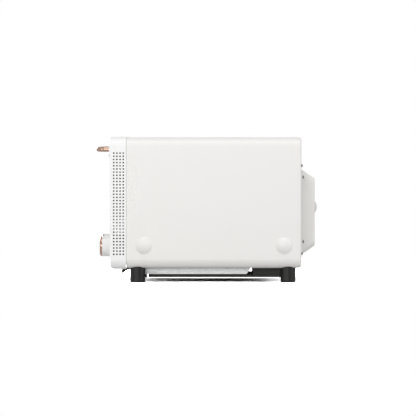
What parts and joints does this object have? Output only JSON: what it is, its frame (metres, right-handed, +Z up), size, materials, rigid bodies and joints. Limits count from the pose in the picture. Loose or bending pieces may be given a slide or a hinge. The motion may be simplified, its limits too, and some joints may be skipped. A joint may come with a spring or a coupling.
{
  "type": "steam toaster oven",
  "caption": "Countertop steam toaster oven: white steel body on rubber feet, front door hinged along its bottom edge, vented bezel, control knobs, wire rack and slide-out crumb tray.",
  "frame": {"origin": "on the resting surface, under the middle of the whole object's box", "axes": "+Z up, -Y towards the user (the door side), +X to the user's right when facing the door"},
  "size_m": [0.357, 0.321, 0.209],
  "materials": {
    "white_paint": "smooth satin white powder coat on steel",
    "white_plastic": "fine satin moulded",
    "copper_plate": "polished copper-toned plating",
    "galvanised_steel": "bright zinc-coated sheet",
    "stainless": "brushed sheet",
    "chrome_wire": "bright plated wire",
    "black_rubber": "matt moulded",
    "black_plastic": "fine grained",
    "black_screw": "black zinc",
    "bright_screw": "zinc plated",
    "clear_glass": "clear tempered",
    "quartz": "frosted quartz",
    "ceramic": "unglazed steatite",
    "circuit_board": "solder mask",
    "lens": "frosted",
    "grey_silicone": "soft matt"
  },
  "bodies": {
    "oven_body": {"housing": "white_paint", "front_bezel": "white_plastic", "back_panel": "white_paint", "rear_cover": "white_paint", "control_fascia": "white_plastic", "base_pan": "galvanised_steel", "front_frame": "galvanised_steel", "crumb_chute": "galvanised_steel", "tray_runners": "galvanised_steel", "hinge_bracket_left": "galvanised_steel", "hinge_bracket_right": "galvanised_steel", "door_springs": "bright_screw", "foot_screws": "bright_screw", "switch_nuts": "bright_screw", "back_panel_screws": "black_screw", "rear_cover_screws": "black_screw", "foot_front_left": "black_rubber", "foot_front_right": "black_rubber", "foot_rear_left": "black_rubber", "foot_rear_right": "black_rubber", "cord_gland": "black_plastic", "timer_switch": "black_plastic", "mode_switch": "black_plastic", "indicator_lenses": "lens", "indicator_lights": "lens", "control_board": "circuit_board", "heater_guard": "chrome_wire", "cavity_liner": "stainless", "rack_rails": "stainless", "heat_reflector": "stainless", "water_inlet": "stainless", "feed_pipe": "stainless", "steam_boiler": "stainless", "boiler_cover": "stainless", "thermal_sensor": "stainless", "heater_top_front": "quartz", "heater_top_rear": "quartz", "heater_bottom_front": "quartz", "heater_bottom_rear": "quartz", "heater_filaments": "bright_screw", "heater_end_caps": "ceramic"},
    "door": {"door_outer_panel": "white_paint", "door_inner_panel": "stainless", "door_glass": "clear_glass", "door_bumpers": "grey_silicone", "hinge_arm_left": "galvanised_steel", "hinge_arm_right": "galvanised_steel", "handle_rail": "white_plastic", "handle_trim": "chrome_wire", "handle_bar": "copper_plate", "handle_screws": "bright_screw"},
    "rack": {"wire_rack": "chrome_wire"},
    "tray": {"crumb_tray": "galvanised_steel", "tray_grip": "black_plastic"},
    "timer_control": {"timer_knob": "white_plastic", "timer_knob_ring": "copper_plate", "timer_shaft": "bright_screw"},
    "mode_control": {"mode_knob": "white_plastic", "mode_knob_ring": "copper_plate", "mode_shaft": "bright_screw"}
  },
  "joints": [
    {"name": "door_hinge", "type": "hinge", "parent": "oven_body", "child": "door", "pos_m": [0, -0.1333, 0.084], "axis": [1, 0, 0], "range_deg": [0, 88], "stiffness_Nm_per_rad": 0.2, "springref_deg": -20.05},
    {"name": "rack_slide", "type": "slide", "parent": "oven_body", "child": "rack", "axis": [0, -1, 0], "range_m": [0, 0.045]},
    {"name": "tray_slide", "type": "slide", "parent": "oven_body", "child": "tray", "axis": [0, -1, 0], "range_m": [0, 0.12]},
    {"name": "timer_turn", "type": "hinge", "parent": "oven_body", "child": "timer_control", "pos_m": [-0.097, -0.1403, 0.0512], "axis": [0, 1, 0], "range_deg": [0, 300]},
    {"name": "mode_turn", "type": "hinge", "parent": "oven_body", "child": "mode_control", "pos_m": [0.097, -0.1403, 0.0512], "axis": [0, 1, 0], "range_deg": [0, 270]}
  ],
  "couplings": [
    {"joint": "rack_slide", "follows": "door_hinge", "m_per_rad": 0.0285}
  ]
}
